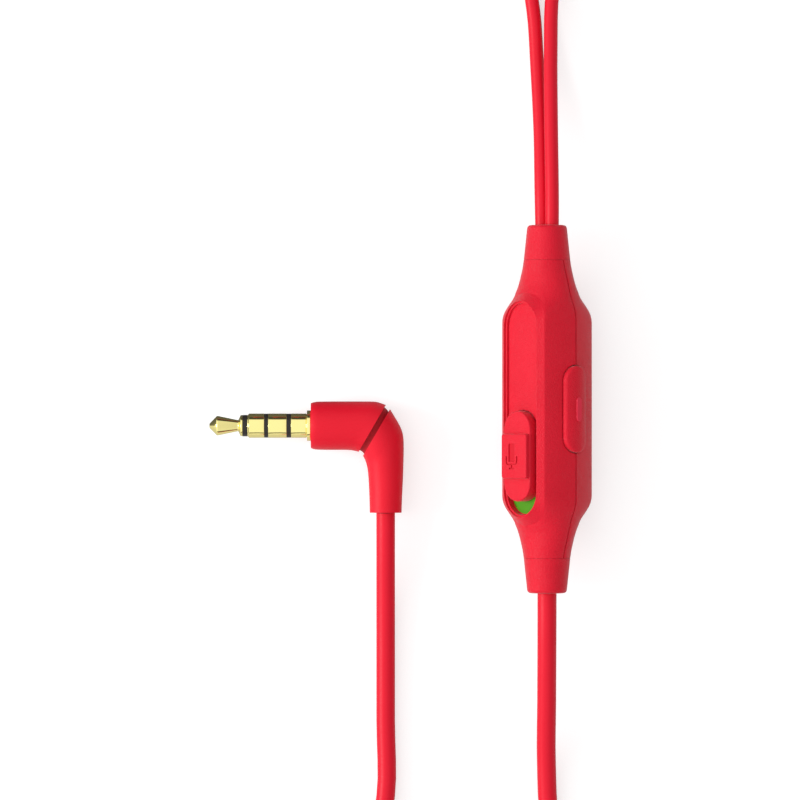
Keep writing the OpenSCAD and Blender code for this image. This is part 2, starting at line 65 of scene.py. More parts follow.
# ---------------------------------------------------------------------------
# Where the remote lies, and the camera. The remote lies on its side, held at a
# slant by its cords, and is looked at straight down from high above.
# ---------------------------------------------------------------------------
MM = 0.001
VIEW_WIDTH = 115.2 * MM
VIEW_FROM_REMOTE = Vector((-21.17, 1.31, 0)) * MM
LENS_MM = 300
SENSOR_MM = 36

front_low, front_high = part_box("remote_front_shell")
rear_low, rear_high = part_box("remote_rear_shell")
remote_low = Vector([min(a, b) for a, b in zip(front_low, rear_low)])
remote_high = Vector([max(a, b) for a, b in zip(front_high, rear_high)])
remote_at = (remote_low + remote_high) / 2
joints = {joint["name"]: joint for joint in frame["joints"]}
SIDE = -Vector(joints["call_press"]["axis"]).normalized()
ALONG = Vector((0, 1, 0))
FRONT = SIDE.cross(ALONG)


def on_remote(side, along, front):
    """A point of the remote, in millimetres across, along and out of its front face."""
    return remote_at + (SIDE * side + ALONG * along + FRONT * front) * MM


def on_table(x, y, z):
    """A point in metres measured from the table's spot under the remote's middle."""
    return Vector((remote_at.x + x, remote_at.y + y, z))


camera_data = bpy.data.cameras.new("camera")
camera_data.lens = LENS_MM
camera_data.sensor_width = SENSOR_MM
camera_data.clip_start = 0.01
camera_data.clip_end = 10
camera = bpy.data.objects.new("camera", camera_data)
CAMERA_UP = Vector((0, 0, VIEW_WIDTH * LENS_MM / SENSOR_MM))
camera.location = remote_at + VIEW_FROM_REMOTE + CAMERA_UP
bpy.context.scene.collection.objects.link(camera)
bpy.context.scene.camera = camera
bpy.context.scene.view_settings.view_transform = "Standard"

# ---------------------------------------------------------------------------
# Cords. Each jacket is extruded soft red elastomer with a satin skin. The cords
# leave the remote's boots, and their spare length lies in coils held by straps.
# ---------------------------------------------------------------------------
MAIN_D = 0.00275
LEAD_D = 0.002
STRAP_T = 0.0004
LAYER_GAP = 0.00005
STEPS_PER_TURN = 18
COIL_RISE_TURNS = 0.3
LEFT_COIL_AT, LEFT_OUTER, LEFT_INNER = (-0.0341, 0.076), 0.0124, 0.0068
RIGHT_COIL_AT, RIGHT_OUTER, RIGHT_INNER = (-0.0061, 0.083), 0.0129, 0.0077
MAIN_COIL_AT, MAIN_OUTER, MAIN_INNER = (-0.014, -0.087), 0.0211, 0.0119

TILT = math.atan2(-FRONT.x, FRONT.z)
LEAD_SIDE = LEAD_D / 2 * math.cos(TILT)
LEAD_RISE = LEAD_D / 2 * math.sin(TILT)
LEFT_ROUTE = [
    (-LEAD_SIDE, 0.0265, remote_at.z - LEAD_RISE), (-0.0008, 0.032, 0.0053),
    (-0.0009, 0.040, 0.0036), (-0.0013, 0.049, 0.002), (-0.0019, 0.058, 0.001),
    (-0.0034, 0.0635, 0.001), (-0.0075, 0.0674, 0.001), (-0.014, 0.0679, 0.001),
    (-0.021, 0.0662, 0.001),
]
RIGHT_ROUTE = [
    (LEAD_SIDE, 0.0265, remote_at.z + LEAD_RISE), (0.0007, 0.032, 0.0069),
    (0.0006, 0.042, 0.0054), (0.0006, 0.052, 0.0034), (0.001, 0.061, 0.0018),
    (0.0034, 0.070, 0.001), (0.006, 0.077, 0.001),
]
MAIN_ROUTE = [
    (0, -0.0265, remote_at.z), (0, -0.033, 0.006), (0, -0.042, 0.0042),
    (0, -0.051, 0.0023), (0.0006, -0.060, 0.001375), (0.0034, -0.070, 0.001375),
    (0.0064, -0.079, 0.001375),
]
PLUG_ROUTE = [
    (-0.0346, -0.081, 0.004175), (-0.0312, -0.074, 0.003075), (-0.0256, -0.065, 0.001775),
    (-0.02324, -0.056, 0.001375), (-0.02324, -0.045, 0.001375), (-0.02324, -0.032, 0.0017),
    (-0.02324, -0.021, 0.003), (-0.02324, -0.01496, 0.0035),
]
LEFT_END = [(-0.0464, 0.082, 0.004), (-0.0454, 0.088, 0.0053), (-0.0449, 0.094, 0.006)]
RIGHT_END = [(0.0065, 0.089, 0.004), (0.005, 0.096, 0.0055), (0.0044, 0.101, 0.006)]


def coil_turns(centre, outer, inner, start_deg, turns, way, diameter):
    """Points of a coil two cords high: in along the table, up a step, and out on top."""
    points = []
    steps = round(turns * STEPS_PER_TURN)
    low = STRAP_T + diameter / 2
    lift = diameter + LAYER_GAP
    for i in range(steps + 1):
        done = i / steps
        angle = math.radians(start_deg + way * 360 * turns * done)
        inward = min(done, 1 - done) * 2
        radius = outer + (inner - outer) * inward
        climb = (done - 0.5) * turns / COIL_RISE_TURNS + 0.5
        climb = min(max(climb, 0), 1)
        z = low + lift * climb * climb * (3 - 2 * climb)
        x = centre[0] + radius * math.cos(angle)
        y = centre[1] + radius * math.sin(angle)
        points.append((x, y, z))
    return points


def smooth_line(points, steps=4):
    """A smooth curve through all the points."""
    out = []
    last = len(points) - 1
    p = [Vector(q) for q in points]
    for i in range(last):
        a, b, c, d = p[max(i - 1, 0)], p[i], p[i + 1], p[min(i + 2, last)]
        for k in range(steps):
            u = k / steps
            out.append(
                0.5 * (2 * b + (c - a) * u + (2 * a - 5 * b + 4 * c - d) * u * u
                       + (3 * b - a - 3 * c + d) * u ** 3)
            )
    out.append(p[last])
    return out


def cord_curve(name, points, diameter):
    """A round jacket along a smooth line, with closed ends."""
    line = smooth_line(points)
    data = bpy.data.curves.new(name, "CURVE")
    data.dimensions = "3D"
    data.bevel_depth = 1
    data.bevel_resolution = 5
    data.use_fill_caps = True
    spline = data.splines.new("POLY")
    spline.points.add(len(line) - 1)
    for point, q in zip(spline.points, line):
        point.co = (*on_table(*q), 1)
        point.radius = diameter / 2
    spline.use_smooth = True
    obj = bpy.data.objects.new(name, data)
    bpy.context.scene.collection.objects.link(obj)
    return obj


LEFT_COIL = coil_turns(LEFT_COIL_AT, LEFT_OUTER, LEFT_INNER, 300, 5 + 1 / 3, -1, LEAD_D)
RIGHT_COIL = coil_turns(RIGHT_COIL_AT, RIGHT_OUTER, RIGHT_INNER, 0, 5, 1, LEAD_D)
MAIN_COIL = coil_turns(MAIN_COIL_AT, MAIN_OUTER, MAIN_INNER, 0, 6.5, -1, MAIN_D)

left_cord = cord_curve("left_lead_cord", LEFT_ROUTE + LEFT_COIL + LEFT_END, LEAD_D)
right_cord = cord_curve("right_lead_cord", RIGHT_ROUTE + RIGHT_COIL + RIGHT_END, LEAD_D)
main_cord = cord_curve("main_cord", MAIN_ROUTE + MAIN_COIL + PLUG_ROUTE, MAIN_D)
for cord, nodes in (
    (left_cord, ("left_lead", "left_coil", "left_lead_end")),
    (right_cord, ("right_lead", "right_coil", "right_lead_end")),
    (main_cord, ("main_cord_upper", "main_coil", "main_cord_lower")),
):
    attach(cord, "earphones")
    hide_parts(*nodes)


def add_node(tree, kind, **values):
    """A shader node with some of its sockets or settings filled in."""
    made = tree.nodes.new(kind)
    for key, value in values.items():
        if hasattr(made, key):
            setattr(made, key, value)
        else:
            made.inputs[key.replace("_", " ")].default_value = value
    return made


def new_material(name, **values):
    """A material with some of its shader's sockets filled in, its tree and its shader."""
    made = bpy.data.materials.new(name)
    made.use_nodes = True
    shader = made.node_tree.nodes["Principled BSDF"]
    for key, value in values.items():
        shader.inputs[key.replace("_", " ")].default_value = value
    return made, made.node_tree, shader


def new_group(name, inputs, outputs):
    """An empty shader node group with named float inputs and outputs."""
    group = bpy.data.node_groups.new(name, "ShaderNodeTree")
    for label, value in inputs:
        made = group.interface.new_socket(label, in_out="INPUT", socket_type="NodeSocketFloat")
        made.default_value = value
    for label in outputs:
        group.interface.new_socket(label, in_out="OUTPUT", socket_type="NodeSocketFloat")
    return group, group.nodes.new("NodeGroupInput"), group.nodes.new("NodeGroupOutput")


def surface_grain():
    """Moulded skin: fine pits of one size, and slow changes of tone over some millimetres."""
    group, given, result = new_group(
        "surface grain", [("Pit size", 0.0002), ("Cloud size", 0.006)], ["Pits", "Clouds"]
    )
    where = add_node(group, "ShaderNodeTexCoord")
    for size, output, detail in (("Pit size", "Pits", 3.0), ("Cloud size", "Clouds", 2.0)):
        per_metre = add_node(group, "ShaderNodeMath", operation="DIVIDE")
        per_metre.inputs[0].default_value = 1.0
        group.links.new(given.outputs[size], per_metre.inputs[1])
        noise = add_node(group, "ShaderNodeTexNoise", Detail=detail, Roughness=0.6)
        group.links.new(where.outputs["Object"], noise.inputs["Vector"])
        group.links.new(per_metre.outputs[0], noise.inputs["Scale"])
        group.links.new(noise.outputs["Fac"], result.inputs[output])
    return group


GRAIN = surface_grain()


def moulded(name, colour, tone, roughness, pit_mm, pit_depth_mm, spread, sheen=0.0):
    """Moulded plastic or elastomer: a tone that wanders a little and a pitted skin."""
    made, tree, shader = new_material(
        name, Sheen_Weight=sheen, Specular_IOR_Level=0.22, Sheen_Roughness=0.35
    )
    grain = add_node(tree, "ShaderNodeGroup", node_tree=GRAIN)
    grain.inputs["Pit size"].default_value = pit_mm * MM
    blend = add_node(tree, "ShaderNodeMixRGB")
    blend.inputs["Color1"].default_value = (*colour, 1)
    blend.inputs["Color2"].default_value = (*tone, 1)
    both = add_node(tree, "ShaderNodeMath", operation="MULTIPLY_ADD")
    half = add_node(tree, "ShaderNodeMath", operation="MULTIPLY")
    for share in (both, half):
        share.inputs[1].default_value = 0.5
    tree.links.new(grain.outputs["Clouds"], half.inputs[0])
    tree.links.new(grain.outputs["Pits"], both.inputs[0])
    tree.links.new(half.outputs[0], both.inputs[2])
    tree.links.new(both.outputs[0], blend.inputs["Fac"])
    tree.links.new(blend.outputs["Color"], shader.inputs["Base Color"])
    rough = add_node(
        tree, "ShaderNodeMapRange", From_Min=0.3, From_Max=0.7,
        To_Min=roughness - spread, To_Max=roughness + spread,
    )
    tree.links.new(grain.outputs["Pits"], rough.inputs["Value"])
    tree.links.new(rough.outputs[0], shader.inputs["Roughness"])
    bump = add_node(tree, "ShaderNodeBump", Strength=1.0, Distance=pit_depth_mm * MM)
    tree.links.new(grain.outputs["Pits"], bump.inputs["Height"])
    tree.links.new(bump.outputs["Normal"], shader.inputs["Normal"])
    return made


soft_red = moulded(
    "soft red jacket", (0.78, 0.005, 0.026), (0.66, 0.002, 0.018),
    0.42, 0.25, 0.008, 0.05, sheen=0.14,
)
for cord in (left_cord, right_cord, main_cord):
    cord.data.materials.append(soft_red)

# ---------------------------------------------------------------------------
# Remote shells. Two moulded halves with a spark-eroded skin meet along the side
# ridges and snap together. The front one is open for the slider's track, and the
# call button comes through the ridge.
# ---------------------------------------------------------------------------
RIDGE_HALF = 5.9
EDGE_HALF = 4.3
EDGE_FRONT = 4.85
FACE_FRONT = 5.55
STRAIGHT_END = 12.4
EDGE_END = 16.7
NECK_END = 21.45
NECK_R = 3.35
RIM_HALF, RIM_STRAIGHT, RIM_REACH = 3.25, 11.75, 3.75
LEDGE_W, LEDGE_DEPTH = 0.3, 0.35
OPENING_FLOOR = 4.1
BUTTON_HALF, BUTTON_STRAIGHT = 2.25, 4.12
SEAM_GAP = 0.075
LIP_DEPTH = 0.9
PORT_PLACE, PORT_R = 8, 0.5
SEAM_ROUND, EDGE_ROUND = 0.06, 0.14
STEP_ROUND, LEDGE_ROUND, PORT_ROUND = 0.04, 0.08, 0.12
CORNER_SHARE = 0.6
SHOULDER = 1.4
FACET_STEPS = 10
FACET_BULGE = 0.3
SEAM_PATH = [(12.9, RIDGE_HALF), (14.5, 5.55), (15.9, 4.92), (17.0, 4.58), (18.0, 4.3),
             (19.2, 3.94), (20.3, 3.6), (NECK_END, NECK_R)]
TOP_PATH = [(STRAIGHT_END, EDGE_FRONT), (14.6, 4.7), (EDGE_END, 4.42), (17.4, 4.05),
            (18.2, 3.78), (19.2, 3.6), (20.3, 3.45), (NECK_END, NECK_R)]
BUTTON_STEPS, ARC_STEPS, NECK_STEPS = 8, 12, 8
SAME_PLACE = 1e-6


def along_path(path, y):
    """Value of a smooth path given as (place, value) pairs."""
    y = abs(y)
    if y <= path[0][0]:
        return path[0][1]
    for i in range(len(path) - 1):
        (y0, v0), (y1, v1) = path[i], path[i + 1]
        if y <= y1:
            before = path[max(i - 1, 0)]
            after = path[min(i + 2, len(path) - 1)]
            m0 = (v1 - before[1]) / (y1 - before[0]) if i else 0
            m1 = (after[1] - v0) / (after[0] - y0)
            h = y1 - y0
            t = (y - y0) / h
            return ((2 * t ** 3 - 3 * t * t + 1) * v0 + (t ** 3 - 2 * t * t + t) * h * m0
                    + (3 * t * t - 2 * t ** 3) * v1 + (t ** 3 - t * t) * h * m1)
    return path[-1][1]


def half_stations():
    """Places along half of the remote: close together round the button and the ends."""
    places = [0, BUTTON_STRAIGHT / 2, BUTTON_STRAIGHT]
    for k in range(1, BUTTON_STEPS + 1):
        places.append(BUTTON_STRAIGHT + BUTTON_HALF * math.sin(math.pi / 2 * k / BUTTON_STEPS))
    places += [8.4, 10.4, STRAIGHT_END]
    reach = EDGE_END - STRAIGHT_END
    for k in range(1, ARC_STEPS + 1):
        places.append(STRAIGHT_END + reach * math.sin(math.pi / 2 * k / ARC_STEPS))
    for k in range(1, NECK_STEPS + 1):
        places.append(EDGE_END + (NECK_END - EDGE_END) * k / NECK_STEPS)
    return places


def end_turn(y):
    """How far round the face's end a place lies, as cosine and sine."""
    over = (abs(y) - STRAIGHT_END) / (EDGE_END - STRAIGHT_END)
    over = min(max(over, 0), 1)
    return math.sqrt(1 - over * over), over


def outline_point(y, half, straight, reach, front):
    """The point of a smaller outline that goes with place y on the face's edge."""
    cos, sin = end_turn(y)
    sign = 1 if y >= 0 else -1
    place = straight * min(abs(y) / STRAIGHT_END, 1) + reach * sin
    return Vector((half * cos, sign * place, front))


def round_body(y, v):
    """The side's section at place y, from the seam (v 0) to the middle of the face (v 1)."""
    t = (abs(y) - STRAIGHT_END) / (EDGE_END - STRAIGHT_END)
    t = min(max(t, 0), 1) ** SHOULDER
    t = t * t * (3 - 2 * t)
    seam = along_path(SEAM_PATH, y)
    high = along_path(TOP_PATH, y)
    corner = EDGE_HALF * seam / RIDGE_HALF
    if v <= CORNER_SHARE:
        w = v / CORNER_SHARE
        turn = math.pi / 2 * w
        flat = Vector((seam + (corner - seam) * w, y, high * w))
        bowed = Vector((corner + (seam - corner) * math.cos(turn), y, high * math.sin(turn)))
        faceted = flat.lerp(bowed, FACET_BULGE)
    else:
        faceted = Vector((corner * (1 - v) / (1 - CORNER_SHARE), y, high))
    turn = math.pi / 2 * v
    return faceted.lerp(Vector((seam * math.cos(turn), y, high * math.sin(turn))), t)


def where_body(y, reached):
    """The share v at which the section first passes the asked place."""
    low, high = 0.0, 1.0
    for _ in range(40):
        middle = (low + high) / 2
        if reached(round_body(y, middle)):
            high = middle
        else:
            low = middle
    return high


def facet_column(y, open_a):
    """Points on the side from the seam, or the button's opening, up to the face's edge."""
    cos, _ = end_turn(y)
    top = CORNER_SHARE
    if abs(y) > STRAIGHT_END:
        top = where_body(y, lambda p: p.x <= EDGE_HALF * cos)
    start = where_body(y, lambda p: p.z >= max(open_a, SEAM_GAP))
    shares = [start + (top - start) * k / FACET_STEPS for k in range(FACET_STEPS + 1)]
    return [round_body(y, share) for share in shares]


def button_open(y):
    """Height above the seam at which the button's opening cuts the side."""
    over = abs(y) - BUTTON_STRAIGHT
    if over <= 0:
        return BUTTON_HALF
    if over >= BUTTON_HALF:
        return 0
    return math.sqrt(BUTTON_HALF ** 2 - over ** 2)


def round_corners(points, radii, steps=3):
    """The same line with a small arc at each inner corner that has a radius."""
    out = [points[0]]
    for i in range(1, len(points) - 1):
        corner, before, after = points[i], points[i - 1], points[i + 1]
        if radii[i] is None:
            out.append(corner.copy())
            continue
        reach = min(radii[i], 0.45 * (before - corner).length, 0.45 * (after - corner).length)
        start = corner + (before - corner).normalized() * reach
        end = corner + (after - corner).normalized() * reach
        for k in range(steps + 1):
            t = k / steps
            out.append((1 - t) ** 2 * start + 2 * t * (1 - t) * corner + t * t * end)
    out.append(points[-1])
    return out


WELD_DISTANCE = 2e-6
SHORTEST_EDGE = 1e-7


def finish_mesh(name, mesh, body, material, nodes=(), sharp_deg=50):
    """Merges what meets, turns faces outwards, smooths, and hangs the piece on its body."""
    bmesh.ops.remove_doubles(mesh, verts=mesh.verts, dist=WELD_DISTANCE)
    bmesh.ops.dissolve_degenerate(mesh, edges=mesh.edges, dist=SHORTEST_EDGE)
    bmesh.ops.recalc_face_normals(mesh, faces=mesh.faces)
    for face in mesh.faces:
        face.smooth = True
    for edge in mesh.edges:
        if len(edge.link_faces) == 2 and edge.calc_face_angle(0) > math.radians(sharp_deg):
            edge.smooth = False
    data = bpy.data.meshes.new(name)
    mesh.to_mesh(data)
    mesh.free()
    data.materials.append(material)
    obj = bpy.data.objects.new(name, data)
    bpy.context.scene.collection.objects.link(obj)
    even = obj.modifiers.new("even shading", "WEIGHTED_NORMAL")
    even.keep_sharp = True
    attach(obj, body)
    if nodes:
        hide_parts(*nodes)
    return obj


def skin(mesh, rows, closed_rows=False, closed_columns=False):
    """Faces between neighbouring rows of points, all rows of one length."""
    verts = [[mesh.verts.new(p) for p in row] for row in rows]
    count = len(rows[0])
    pairs = list(zip(verts, verts[1:]))
    if closed_rows:
        pairs.append((verts[-1], verts[0]))
    for a, b in pairs:
        for k in range(count if closed_columns else count - 1):
            n = (k + 1) % count
            mesh.faces.new((a[k], a[n], b[n], b[k]))
    return verts


def shell_rows(hand, front, inner):
    """Rows of one side of a shell; hand is +1 for the button's side, front +1 or -1."""
    rows, necks = [], []
    half = half_stations()
    places = [-y for y in reversed(half[1:])] + half
    for y in places:
        side = facet_column(y, button_open(y) if hand > 0 else 0)
        lip = side[0] - Vector((LIP_DEPTH, 0, 0))
        start = [lip] + side
        corners = [None, SEAM_ROUND] + [None] * (len(side) - 1)
        if abs(y) <= EDGE_END + SAME_PLACE:
            points, radii = inner(y)
            corners[-1] = EDGE_ROUND * min(1, 3 * end_turn(y)[0])
            rows.append(round_corners(start + points, corners + radii))
        if abs(y) >= EDGE_END - SAME_PLACE:
            necks.append((y, round_corners(start, corners[:-1] + [None])))

    def placed(row):
        return [on_remote(hand * p.x, p.y, front * p.z) for p in row]

    ends = [[placed(r) for y, r in necks if y * sign > 0] for sign in (-1, 1)]
    return [placed(r) for r in rows], ends


def rim_to_track(y):
    """Over the chamfer to the rim, down to the ledge and down again to the track."""
    top = outline_point(y, RIM_HALF, RIM_STRAIGHT, RIM_REACH, FACE_FRONT)
    step = Vector((top.x, top.y, FACE_FRONT - LEDGE_DEPTH))
    ledge = outline_point(
        y, RIM_HALF - LEDGE_W, RIM_STRAIGHT, RIM_REACH - LEDGE_W, FACE_FRONT - LEDGE_DEPTH
    )
    deep = Vector((ledge.x, ledge.y, OPENING_FLOOR))
    return [top, step, ledge, deep], [EDGE_ROUND, STEP_ROUND, LEDGE_ROUND, None]


def rim_to_port(y):
    """Over the chamfer and across the flat back to the sound port."""
    top = outline_point(y, RIM_HALF, RIM_STRAIGHT, RIM_REACH, FACE_FRONT)
    turn = math.atan2(top.y - PORT_PLACE, top.x)
    mouth = Vector((PORT_R * math.cos(turn), PORT_PLACE + PORT_R * math.sin(turn), FACE_FRONT))
    if top.x < SAME_PLACE:
        mouth.x = 0
    deep = Vector((mouth.x, mouth.y, OPENING_FLOOR))
    return [top, mouth, deep], [EDGE_ROUND, PORT_ROUND, None]


def build_shell(name, front, inner, node):
    """One shell out of two mirrored sides; front is +1 for the front shell, -1 for the rear."""
    mesh = bmesh.new()
    for hand in (1, -1):
        rows, ends = shell_rows(hand, front, inner)
        skin(mesh, rows)
        for end in ends:
            skin(mesh, end)
    return finish_mesh(name, mesh, "earphones", spark_red, (node,), sharp_deg=60)


spark_red = moulded(
    "spark textured red", (0.80, 0.006, 0.030), (0.62, 0.002, 0.016),
    0.42, 0.17, 0.10, 0.14, sheen=0.26,
)
build_shell("front_shell_skin", 1, rim_to_track, "remote_front_shell")
build_shell("rear_shell_skin", -1, rim_to_port, "remote_rear_shell")

# ---------------------------------------------------------------------------
# Boots. Soft red cones moulded over the cords and pushed into the shells' necks,
# with a fine groove where they meet.
# ---------------------------------------------------------------------------
BOOT_END = 26.5
BOOT_END_R = 2.82
BOOT_TUCK = 0.1
GROOVE_DEPTH = 0.12
GROOVE_R = NECK_R - GROOVE_DEPTH
BOOT_PROFILE = [
    (NECK_R - 0.8, NECK_END - BOOT_TUCK), (GROOVE_R, NECK_END - BOOT_TUCK), (GROOVE_R, NECK_END),
    (NECK_R, NECK_END + 0.03), (BOOT_END_R, BOOT_END), (0, BOOT_END),
]
LATHE_STEPS = 64


def lathe(name, profile, place, material, body, nodes=(), radii=None, sharp_deg=50):
    """A turned piece from (radius, distance) pairs; place(x, y, distance) puts it in space."""
    line = [Vector((r, s, 0)) for r, s in profile]
    if radii is not None:
        line = round_corners(line, radii)
    mesh = bmesh.new()
    rows = []
    for k in range(LATHE_STEPS):
        angle = 2 * math.pi * k / LATHE_STEPS
        rows.append([place(p.x * math.cos(angle), p.x * math.sin(angle), p.y) for p in line])
    skin(mesh, rows, closed_rows=True)
    return finish_mesh(name, mesh, body, material, nodes, sharp_deg)


for node, way in (("upper_boot", 1), ("lower_boot", -1)):
    lathe(
        node + "_skin", BOOT_PROFILE, lambda x, z, s, way=way: on_remote(x, way * s, z),
        spark_red, "earphones", (node,), radii=[None, None, None, 0.08, 0.5, None],
    )

# ---------------------------------------------------------------------------
# Mute slider. A stadium knob with a raised grip, moulded in the shells' red, runs
# in the slot of the track. Under its lower end the track shows a green inlay.
# ---------------------------------------------------------------------------
KNOB_HALF = 2.65
KNOB_LONG = 6.5
KNOB_TOP = 6.18
KNOB_FOOT = 4.3
KNOB_EDGE = 0.22
GRIP_HALF, GRIP_LONG, GRIP_TOP = 2.52, 3.2, 6.82
GRIP_CORNER, GRIP_EDGE = 0.35, 0.2
SUNK = 0.3
ROUND_STEPS = 12
SLOT_END = -(RIM_STRAIGHT + RIM_REACH - LEDGE_W)
END_GAP = 0.15
SLIDER_PLACE = SLOT_END + END_GAP + joints["mute_slide"]["range_m"][1] / MM + KNOB_LONG


def stadium(half, long):
    """Outline with round ends, as (across, along) pairs, run round once."""
    points = []
    for side in (1, -1):
        for k in range(ROUND_STEPS + 1):
            angle = math.pi * k / ROUND_STEPS
            points.append((side * half * math.cos(angle),
                           side * (long - half + half * math.sin(angle))))
    return points


def rounded_box(half, long, radius):
    """Rectangle with rounded corners, as (across, along) pairs."""
    points = []
    for sx, sy, start in ((1, 1, 0), (-1, 1, 90), (-1, -1, 180), (1, -1, 270)):
        for k in range(5):
            angle = math.radians(start + 90 * k / 4)
            points.append((sx * (half - radius) + radius * math.cos(angle),
                           sy * (long - radius) + radius * math.sin(angle)))
    return points


def closed_solid(rows):
    """A mesh with faces between closed rows, and one face over each end."""
    mesh = bmesh.new()
    verts = skin(mesh, rows, closed_columns=True)
    mesh.faces.new(verts[0])
    mesh.faces.new(verts[-1])
    return mesh


def domed_solid(outline, levels, place):
    """Closed solid from (inset, height) levels of one outline; outline(inset) gives pairs."""
    return closed_solid([[place(x, y, z) for x, y in outline(inset)] for inset, z in levels])


def edge_levels(foot, top, radius, steps=5):
    """Levels of a straight wall with a rounded upper edge."""
    levels = [(0, foot)]
    for k in range(steps + 1):
        angle = math.pi / 2 * k / steps
        levels.append((radius * (1 - math.cos(angle)), top - radius * (1 - math.sin(angle))))
    return levels


def on_slider(x, y, z):
    """A point of the slider, in millimetres from its middle and out of the remote's face."""
    return on_remote(x, SLIDER_PLACE + y, z)


def knob_outline(inset):
    """The knob's stadium, smaller by an inset."""
    return stadium(KNOB_HALF - inset, KNOB_LONG - inset)


def grip_outline(inset):
    """The grip's rectangle, smaller by an inset."""
    return rounded_box(GRIP_HALF - inset, GRIP_LONG - inset, GRIP_CORNER - inset * 0.5)


knob_mesh = domed_solid(knob_outline, edge_levels(KNOB_FOOT, KNOB_TOP, KNOB_EDGE), on_slider)
finish_mesh("slider_knob", knob_mesh, "mute_slider", spark_red, ("mute_slider",))
grip_mesh = domed_solid(grip_outline, edge_levels(KNOB_TOP - SUNK, GRIP_TOP, GRIP_EDGE), on_slider)
grip = finish_mesh("slider_grip", grip_mesh, "mute_slider", spark_red)

# Generic microphone sign, pressed into the grip
SIGN_ACROSS = -0.42
SIGN_DEPTH = 0.16
SIGN_STROKE = 0.22
SIGN_FLOOR = GRIP_TOP - SIGN_DEPTH
ABOVE_GRIP = GRIP_TOP + 1


def cup_band(half, low, high, corner, width):
    """Outline of a U with rounded lower corners, as (across, along) pairs."""
    outer, inner = [(half, high)], [(half - width, high)]
    for sx, start in ((1, 0), (-1, -90)):
        for k in range(7):
            angle = math.radians(start - 90 * k / 6)
            cx, cy = sx * (half - corner), low + corner
            for line, radius in ((outer, corner), (inner, corner - width)):
                line.append((cx + radius * math.cos(angle), cy + radius * math.sin(angle)))
    outer.append((-half, high))
    inner.append((width - half, high))
    return [(SIGN_ACROSS + x, y) for x, y in outer + inner[::-1]]


def press_in(target, name, outline):
    """Sinks an outline into the top of the grip."""
    levels = (SIGN_FLOOR, ABOVE_GRIP)
    mesh = closed_solid([[on_slider(x, y, z) for x, y in outline] for z in levels])
    bmesh.ops.recalc_face_normals(mesh, faces=mesh.faces)
    data = bpy.data.meshes.new(name)
    mesh.to_mesh(data)
    mesh.free()
    cutter = bpy.data.objects.new(name, data)
    bpy.context.scene.collection.objects.link(cutter)
    cut = target.modifiers.new(name, "BOOLEAN")
    cut.operation = "DIFFERENCE"
    cut.solver = "EXACT"
    cut.object = cutter
    bpy.context.view_layer.objects.active = target
    bpy.ops.object.modifier_move_to_index(modifier=name, index=0)
    bpy.ops.object.modifier_apply(modifier=name)
    bpy.data.objects.remove(cutter)


def sign_box(along, half, long, radius):
    """A rounded rectangle of the sign, centred at a place along the slider."""
    return [(SIGN_ACROSS + x, along + y) for x, y in rounded_box(half, long, radius)]


for part, outline in (
    ("pill", sign_box(0.5, 0.6, 1.31, 0.15)),
    ("cup", cup_band(1.16, -1.29, 0, 0.5, SIGN_STROKE)),
    ("stem", sign_box(-1.46, 0.12, 0.3, 0.03)),
    ("foot", sign_box(-1.77, 0.52, 0.11, 0.05)),
):
    press_in(grip, "sign_" + part, outline)
# The sign's floor is smoother than the grip, and its darker red is painted shade for the
# pressed-in recess.
sign_red_painted_shade = moulded(
    "polished sign floor with painted shade", (0.62, 0.001, 0.016), (0.56, 0.001, 0.013), 0.3, 0.2, 0.001, 0.04
)
grip.data.materials.append(sign_red_painted_shade)
for face in grip.data.polygons:
    height = (face.center - remote_at).dot(FRONT) / MM
    if abs(height - SIGN_FLOOR) < 0.03 and face.normal.dot(FRONT) > 0.9:
        face.material_index = 1


def dress(name, material):
    """Gives a CAD piece one material of its own."""
    materials = frame["nodes"][name].data.materials
    materials.clear()
    materials.append(material)


dress("slider_track", spark_red)

# ---------------------------------------------------------------------------
# Call button. A domed cap in the same red comes through the ridge with a thin gap
# all round, and a smooth raised pip marks where to press.
# ---------------------------------------------------------------------------
CAP_HALF = 2.13
CAP_LONG = 6.25
CAP_TOP = 6.48
CAP_RISE = 0.63
CAP_FOOT = 4.1
CAP_EDGE = 0.34
CAP_EDGE_STEPS = 6
CAP_INSETS = [0.6, 0.9, 1.2, 1.5, 1.8, 2.0, CAP_HALF - 0.01]
PIP_HALF, PIP_LONG, PIP_PROUD, PIP_EDGE = 0.5, 1.75, 0.12, 0.12


def cap_height(across, inset):
    """Height of the cap: a long dome with a rounded edge."""
    dome = CAP_TOP - CAP_RISE * (across / CAP_HALF) ** 2
    if inset >= CAP_EDGE:
        return dome
    left = CAP_EDGE - inset
    return dome - (CAP_EDGE - math.sqrt(CAP_EDGE ** 2 - left ** 2))


def on_button(x, y, z):
    """A point of the button, in millimetres across, along and out of the remote's side."""
    return on_remote(z, y, x)


edge_turns = [math.pi / 2 * k / CAP_EDGE_STEPS for k in range(CAP_EDGE_STEPS + 1)]
rows = [[on_button(x, y, CAP_FOOT) for x, y in stadium(CAP_HALF, CAP_LONG)]]
for inset in [CAP_EDGE * (1 - math.cos(turn)) for turn in edge_turns] + CAP_INSETS:
    ring = stadium(CAP_HALF - inset, CAP_LONG - inset)
    rows.append([on_button(x, y, cap_height(x, inset)) for x, y in ring])
finish_mesh(
    "call_button_cap", closed_solid(rows), "call_button", spark_red, ("call_button",)
)

pip_red = moulded("smooth red pip", (0.80, 0.03, 0.07), (0.72, 0.02, 0.05), 0.3, 0.2, 0.002, 0.04)
pip_mesh = domed_solid(
    lambda inset: stadium(PIP_HALF - inset, PIP_LONG - inset),
    edge_levels(CAP_TOP - SUNK, CAP_TOP + PIP_PROUD, PIP_EDGE), on_button,
)
finish_mesh("call_button_pip", pip_mesh, "call_button", pip_red)

